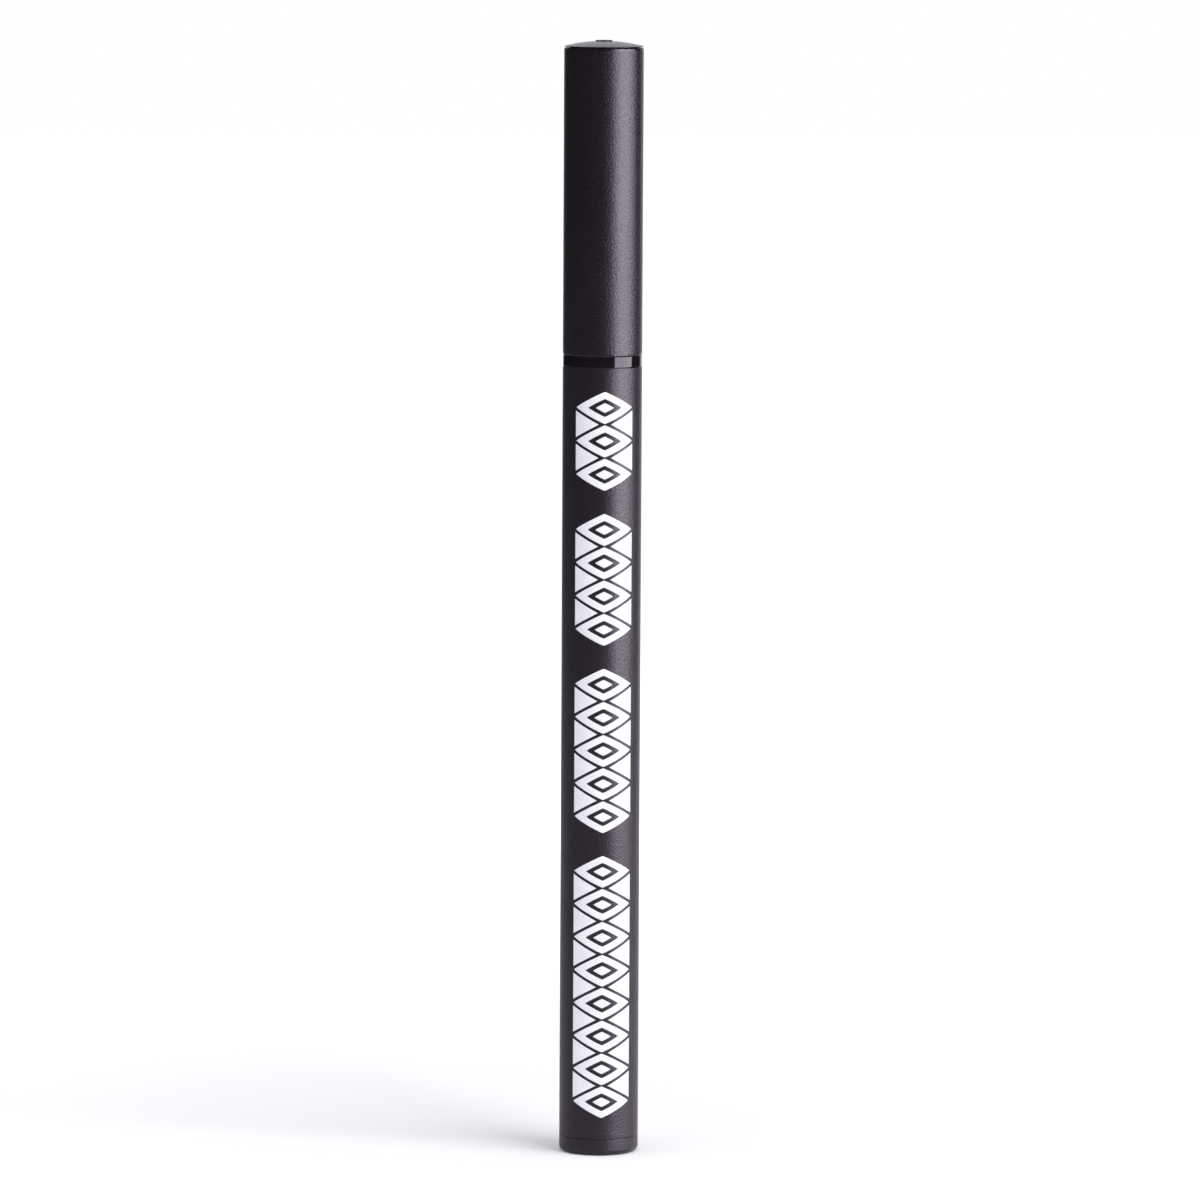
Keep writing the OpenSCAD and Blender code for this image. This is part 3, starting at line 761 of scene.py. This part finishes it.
def natural_plastic(name, thin, thick):
    """Unpigmented plastic as moulded: milky, a little waxy, uneven where the wall is thicker."""
    material, tree, where = finish_of(name)
    cloud = add(tree, "TexNoise", {
        "Vector": where, "Scale": 1 / 0.003, "Detail": 3.0, "Roughness": 0.5,
    })
    skin = add(tree, "TexNoise", {"Vector": where, "Scale": 1 / 0.0002, "Detail": 2.0})
    shade = add(tree, "Mix", {
        0: cloud.outputs[0], 6: linear(thin), 7: linear(thick),
    }, data_type="RGBA")
    rough = add(tree, "MapRange", {0: skin.outputs[0], 1: 0.3, 2: 0.7, 3: 0.34, 4: 0.46})
    bump = add(tree, "Bump", {"Height": skin.outputs[0], "Strength": 0.1, "Distance": 0.00002})
    shader = add(tree, "BsdfPrincipled", {
        "Base Color": shade.outputs[2], "Roughness": rough.outputs[0],
        "IOR": 1.49, "Normal": bump.outputs[0],
        "Subsurface Weight": 0.25, "Subsurface Radius": (0.0008, 0.0008, 0.0009),
        "Subsurface Scale": 1.0,
    })
    add(tree, "OutputMaterial", {"Surface": shader.outputs[0]})
    return material


def seal_rubber():
    """Moulded silicone: dull dark grey, with a soft even bloom."""
    material, tree, where = finish_of("dark_silicone")
    bloom = add(tree, "TexNoise", {"Vector": where, "Scale": 1 / 0.0006, "Detail": 3.0})
    shade = add(tree, "Mix", {
        0: bloom.outputs[0], 6: linear("#4b4b4e"), 7: linear("#58585c"),
    }, data_type="RGBA")
    rough = add(tree, "MapRange", {0: bloom.outputs[0], 1: 0.3, 2: 0.7, 3: 0.55, 4: 0.7})
    shader = add(tree, "BsdfPrincipled", {
        "Base Color": shade.outputs[2], "Roughness": rough.outputs[0], "IOR": 1.41,
    })
    add(tree, "OutputMaterial", {"Surface": shader.outputs[0]})
    return material


def drawn_wire():
    """Stainless spring wire, drawn: bright, with fine die lines along it.

    They are drawn at 0.1 mm, as coarse as they need to be to show.
    """
    material, tree, where = finish_of("drawn_stainless_wire")
    lines = add(tree, "Mapping", {"Vector": where, "Scale": (1.0, 1.0, 6.0)})
    streak = add(tree, "TexNoise", {"Vector": lines.outputs[0], "Scale": 1 / 0.0006, "Detail": 3.0})
    shade = add(tree, "Mix", {
        0: streak.outputs[0], 6: linear("#b9bbbe"), 7: linear("#d5d6d8"),
    }, data_type="RGBA")
    rough = add(tree, "MapRange", {0: streak.outputs[0], 1: 0.3, 2: 0.7, 3: 0.2, 4: 0.34})
    shader = add(tree, "BsdfPrincipled", {
        "Base Color": shade.outputs[2], "Roughness": rough.outputs[0], "Metallic": 1.0,
    })
    add(tree, "OutputMaterial", {"Surface": shader.outputs[0]})
    return material


def ground_steel():
    """Bearing-grade stainless ball, ground and polished: a clear mirror with a trace of haze."""
    material, tree, where = finish_of("polished_stainless_ball")
    haze = add(tree, "TexNoise", {"Vector": where, "Scale": 1 / 0.0008, "Detail": 4.0})
    shade = add(tree, "Mix", {
        0: haze.outputs[0], 6: linear("#cfd0d2"), 7: linear("#dcdddf"),
    }, data_type="RGBA")
    rough = add(tree, "MapRange", {0: haze.outputs[0], 1: 0.3, 2: 0.7, 3: 0.05, 4: 0.1})
    shader = add(tree, "BsdfPrincipled", {
        "Base Color": shade.outputs[2], "Roughness": rough.outputs[0], "Metallic": 1.0,
    })
    add(tree, "OutputMaterial", {"Surface": shader.outputs[0]})
    return material


def fibre(name, dark, light, width, relief):
    """Fibres bonded side by side along Z, as in a wick or a nib: dull, with streaks lengthways.

    Real fibres are about 0.02 mm thick. The streaks are drawn at the width given, in metres, so
    that they show.
    """
    material, tree, where = finish_of(name)
    along = add(tree, "Mapping", {"Vector": where, "Scale": (1.0, 1.0, 0.06)})
    strand = add(tree, "TexNoise", {
        "Vector": along.outputs[0], "Scale": 1 / width, "Detail": 3.0, "Roughness": 0.65,
    })
    fuzz = add(tree, "TexNoise", {"Vector": where, "Scale": 1 / (width * 0.8), "Detail": 2.0})
    shade = add(tree, "Mix", {
        0: strand.outputs[0], 6: linear(dark), 7: linear(light),
    }, data_type="RGBA")
    height = add(tree, "Math", {0: strand.outputs[0], 1: fuzz.outputs[0]}, operation="ADD")
    rough = add(tree, "MapRange", {0: fuzz.outputs[0], 1: 0.3, 2: 0.7, 3: 0.72, 4: 0.92})
    bump = add(tree, "Bump", {"Height": height.outputs[0], "Strength": relief, "Distance": 0.00004})
    shader = add(tree, "BsdfPrincipled", {
        "Base Color": shade.outputs[2], "Roughness": rough.outputs[0],
        "IOR": 1.5, "Normal": bump.outputs[0],
        "Sheen Weight": 0.15, "Sheen Roughness": 0.5,
    })
    add(tree, "OutputMaterial", {"Surface": shader.outputs[0]})
    return material


def screen_ink():
    """White ink, screen printed: flat and slightly chalky, with faint dimples from the mesh.

    Its cover is a little uneven. A real mesh leaves dimples 0.08 mm apart. They are drawn 0.2 mm
    apart, so that they show.
    """
    material, tree, where = finish_of("screen_printed_white_ink")
    dimple = add(tree, "TexVoronoi", {"Vector": where, "Scale": 1 / 0.0002}, feature="F1")
    cover = add(tree, "TexNoise", {
        "Vector": where, "Scale": 1 / 0.0012, "Detail": 4.0, "Roughness": 0.6,
    })
    shade = add(tree, "Mix", {
        0: cover.outputs[0], 6: linear("#e6e5ec"), 7: linear("#f4f4fa"),
    }, data_type="RGBA")
    rough = add(tree, "MapRange", {0: cover.outputs[0], 1: 0.3, 2: 0.7, 3: 0.5, 4: 0.62})
    bump = add(tree, "Bump", {"Height": dimple.outputs[0], "Strength": 0.08, "Distance": 0.00001})
    shader = add(tree, "BsdfPrincipled", {
        "Base Color": shade.outputs[2], "Roughness": rough.outputs[0],
        "IOR": 1.42, "Normal": bump.outputs[0],
    })
    add(tree, "OutputMaterial", {"Surface": shader.outputs[0]})
    return material


# ---- Pieces --------------------------------------------------------------------------------------


def piece(mesh, body, material, slot, *nodes):
    """Object of a finished mesh at the origin, on its body, in place of the CAD nodes named."""
    made = bpy.data.objects.new(mesh.name, mesh)
    bpy.context.scene.collection.objects.link(made)
    mesh.materials.append(material)
    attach(made, body)
    if nodes:
        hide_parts(*nodes)
    return made


def dress(node, material):
    """Gives a CAD node that stays its finish."""
    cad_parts[node].data.materials.clear()
    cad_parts[node].data.materials.append(material)


barrel_matt = matt_plastic("spark_eroded_black_abs", "#0b060c", "#0f0910", 0.345)
cap_matt = matt_plastic("spark_eroded_black_abs_cap", "#090409", "#0d070e", 0.335)
crown_matt = matt_plastic("fine_eroded_black_abs", "#0b060c", "#0f0910", 0.24)
gloss_black = gloss_plastic()
milky = natural_plastic("natural_polypropylene", "#d2d4d6", "#dfe0e1")
off_white = natural_plastic("off_white_abs_as_moulded", "#dcd8cc", "#e8e5dc")
rubber = seal_rubber()
wick_fibre = fibre("bonded_polyester_wick", "#d9d3c4", "#f4f0e6", 0.00012, 0.5)
nib_fibre = fibre("ink_black_felt", "#0c0a0d", "#1d1a20", 0.00009, 0.6)

piece(barrel_mesh(), "pen", barrel_matt, "barrel_matt", "barrel")
piece(tail_plug_mesh(), "pen", barrel_matt, "barrel_matt", "tail_plug")
piece(print_mesh(), "pen", screen_ink(), "white_print")
piece(front_mesh(), "pen", gloss_black, "gloss_black", "front_section")
piece(nib_mesh(), "pen", nib_fibre, "nib_felt", "nib")
piece(cap_mesh(), "cap", cap_matt, "cap_matt", "cap_sleeve")
piece(crown_mesh(), "cap", crown_matt, "cap_matt", "cap_crown")
piece(cup_mesh(), "sealing_cup", milky, "natural_plastic", "inner_cap")
piece(ball_mesh(), "ball", ground_steel(), "ball_steel", "mixing_ball")
spring = piece(spring_mesh(), "cap", drawn_wire(), "spring_steel", "inner_cap_spring")
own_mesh(spring)
dress("tail_seal_ring", rubber)
dress("neck_seal_ring", rubber)
dress("collector", off_white)
dress("relay_wick", wick_fibre)
dress("wick_pipe", milky)

# ---- Studio --------------------------------------------------------------------------------------

ROOM = 0.57  # plain light from all round
FLOOR_WHITE = 0.93
FLOOR_LIFT = 0.1  # light that the camera sees added to the floor round the pen's foot
FLOOR_RINGS = (0, 200, 600, 1500, 3000)  # radii of the floor's rings of faces, in mm
TILT = 6.0  # degrees that the camera looks down
ROLL = 0.295  # degrees that it leans to its left


def panel(name, place, target, width, height, radiance, diffuse=True, glossy=True):
    """Lit panel at a place, facing a target, in metres.

    Its power is radiance x pi x area. It shows in gloss and lights the object, but isn't seen
    itself.
    """
    lamp = bpy.data.lights.new(name, "AREA")
    lamp.shape = "RECTANGLE"
    lamp.size, lamp.size_y = width, height
    lamp.energy = radiance * math.pi * width * height
    made = bpy.data.objects.new(name, lamp)
    made.location = place
    sight = np.array(target, float) - np.array(place, float)
    made.rotation_euler = (math.atan2(math.hypot(sight[0], sight[1]), -sight[2]), 0,
                           math.atan2(-sight[0], sight[1]))
    made.visible_camera = False
    made.visible_diffuse, made.visible_glossy = diffuse, glossy
    bpy.context.scene.collection.objects.link(made)


def upright_panel(name, near, far, height, radiance, foot=0.002, **rays):
    """Upright panel between two ends: degrees round to the right of the front, and how far away."""
    turns, away = np.radians([near[0], far[0]]), np.array([near[1], far[1]])
    ends = np.column_stack([away * np.sin(turns), -away * np.cos(turns)])
    middle, along = ends.mean(0), ends[1] - ends[0]
    z = foot + height / 2
    facing = middle + (-along[1], along[0])
    panel(name, (*middle, z), (*facing, z), np.linalg.norm(along), height, radiance, **rays)


def backdrop(tree, way):
    """Share of the white backdrop that lies a given way: all behind the pen, none beside it."""
    left = add(tree, "MapRange", {
        0: way.outputs[0], 1: -0.5, 2: -0.2,
    }, interpolation_type="SMOOTHSTEP")
    right = add(tree, "MapRange", {
        0: way.outputs[0], 1: 0.55, 2: 0.68, 3: 1.0, 4: 0.0,
    }, interpolation_type="SMOOTHSTEP")
    narrow = add(tree, "Math", {0: left.outputs[0], 1: right.outputs[0]}, operation="MINIMUM")
    behind = add(tree, "MapRange", {
        0: way.outputs[1], 1: 0.0, 2: 0.5, 3: 0.0, 4: 1.0,
    }, interpolation_type="SMOOTHSTEP")
    return add(tree, "Math", {0: narrow.outputs[0], 1: behind.outputs[0]}, operation="MULTIPLY")


def studio_world():
    """White for the camera, and plain soft light on the object.

    In gloss it is a white backdrop, a ceiling and a dim room.
    """
    world = bpy.data.worlds.new("studio")
    bpy.context.scene.world = world
    world.use_nodes = True
    tree = world.node_tree
    tree.nodes.clear()
    ray = add(tree, "LightPath")
    way = add(tree, "SeparateXYZ", {0: add(tree, "TexCoord").outputs["Generated"]})
    room = add(tree, "MapRange", {
        0: way.outputs[0], 1: -0.9, 2: 0.2, 3: 0.09, 4: 0.01,
    }, interpolation_type="SMOOTHSTEP")
    above = add(tree, "MapRange", {
        0: way.outputs[2], 1: 0.5, 2: 0.9, 3: 0.0, 4: 1.2,
    }, interpolation_type="SMOOTHSTEP")
    dim = add(tree, "Math", {0: above.outputs[0], 1: room.outputs[0]}, operation="MAXIMUM")
    gloss = add(tree, "Math", {
        0: backdrop(tree, way).outputs[0], 1: dim.outputs[0],
    }, operation="MAXIMUM")
    seen = add(tree, "Math", {
        0: ray.outputs["Is Camera Ray"], 1: ray.outputs["Is Transmission Ray"],
    }, operation="MAXIMUM")
    light = add(tree, "Mix", {0: ray.outputs["Is Glossy Ray"], 2: ROOM, 3: gloss.outputs[0]})
    power = add(tree, "Mix", {0: seen.outputs[0], 2: light.outputs[0], 3: 1.0})
    tint = add(tree, "Mix", {
        0: seen.outputs[0], 6: linear("#f9f8ff"), 7: linear("#ffffff"),
    }, data_type="RGBA")
    sky = add(tree, "Background", {"Color": tint.outputs[2], "Strength": power.outputs[0]})
    add(tree, "OutputWorld", {"Surface": sky.outputs[0]})


def floor_finish():
    """White sheet under the pen: lit where it shows a shadow, and white for the camera further off.

    Its colour is painted darker away from the pen, a painted pool of light round the foot, and in
    gloss it is painted brighter on the lamps' side. Behind the pen it glows in gloss only, a
    painted reflection of a backdrop that sweeps up.
    """
    material, tree, where = finish_of("white_sheet")
    away = add(tree, "VectorMath", {0: where}, operation="LENGTH")
    toward = add(tree, "VectorMath", {0: where}, operation="NORMALIZE")
    way = add(tree, "SeparateXYZ", {0: toward.outputs[0]})
    # Painted pool of light: the sheet's colour is painted darker away from the pen.
    near = add(tree, "MapRange", {
        0: away.outputs["Value"], 1: 0.1, 2: 0.9, 3: FLOOR_WHITE, 4: 0.02,
    }, interpolation_type="SMOOTHSTEP")
    # Painted reflection: behind the pen the sheet glows for glossy rays only, as a lit backdrop
    # would.
    far = add(tree, "MapRange", {
        0: away.outputs["Value"], 1: 0.1, 2: 0.5,
    }, interpolation_type="SMOOTHSTEP")
    painted_back_glow = add(tree, "Math", {
        0: backdrop(tree, way).outputs[0], 1: far.outputs[0],
    }, operation="MULTIPLY")
    lift = add(tree, "MapRange", {
        0: away.outputs["Value"], 1: 0.03, 2: 0.35, 3: FLOOR_LIFT, 4: 1.06,
    }, interpolation_type="SMOOTHSTEP")
    ray = add(tree, "LightPath")
    shown = add(tree, "Math", {
        0: ray.outputs["Is Camera Ray"], 1: lift.outputs[0],
    }, operation="MULTIPLY")
    gloss = add(tree, "Math", {
        0: ray.outputs["Is Glossy Ray"], 1: painted_back_glow.outputs[0], 2: shown.outputs[0],
    }, operation="MULTIPLY_ADD")
    # Painted light, in gloss only: the sheet's colour is painted brighter on the lamps' side, to
    # the right.
    side = add(tree, "MapRange", {0: way.outputs[0], 1: -0.3, 2: 0.9, 3: 0.75, 4: 1.1})
    share = add(tree, "Mix", {0: ray.outputs["Is Glossy Ray"], 2: 1.0, 3: side.outputs[0]})
    bright = add(tree, "Math", {0: near.outputs[0], 1: share.outputs[0]}, operation="MULTIPLY")
    sheet = add(tree, "BsdfDiffuse", {"Color": bright.outputs[0]})
    glow = add(tree, "Emission", {"Color": linear("#fcfcff"), "Strength": gloss.outputs[0]})
    both = add(tree, "AddShader", {0: sheet.outputs[0], 1: glow.outputs[0]})
    add(tree, "OutputMaterial", {"Surface": both.outputs[0]})
    return material


studio_world()
floor_line = curve_section([(r, 0) for r in FLOOR_RINGS] + [(FLOOR_RINGS[-1], -1), (0, -1)])
floor = bpy.data.objects.new("floor", turned("floor", floor_line, closed=False, segments=96))
floor.data.materials.append(floor_finish())
floor.data.polygons.foreach_set("use_smooth", np.zeros(len(floor.data.polygons), bool))
bpy.context.scene.collection.objects.link(floor)

upright_panel("key_panel", (25, 0.586), (75, 0.586), 0.6, 4.0, foot=0.15, glossy=False)
upright_panel("fill_panel", (-100, 0.6), (-30, 0.6), 0.35, 0.55, glossy=False)
upright_panel("key_card", (36.4, 0.36), (96.6, 1.6), 0.27, 7.8, diffuse=False)
panel("top_panel", (0.13, -0.16, 0.75), (0, 0, 0.06), 0.45, 0.45, 1.3)

camera_data = bpy.data.cameras.new("camera")
camera_data.lens = 224.9
camera_data.sensor_width = 36
camera_data.clip_start, camera_data.clip_end = 0.05, 50
camera = bpy.data.objects.new("camera", camera_data)
camera.rotation_mode = "ZYX"  # the roll first, about the line of sight, then the tilt
camera.rotation_euler = (math.radians(90 - TILT), 0, math.radians(ROLL))
camera.location = (-0.00015, -0.9231, 0.165933)
bpy.context.scene.collection.objects.link(camera)
bpy.context.scene.camera = camera
bpy.context.scene.view_settings.view_transform = "Standard"
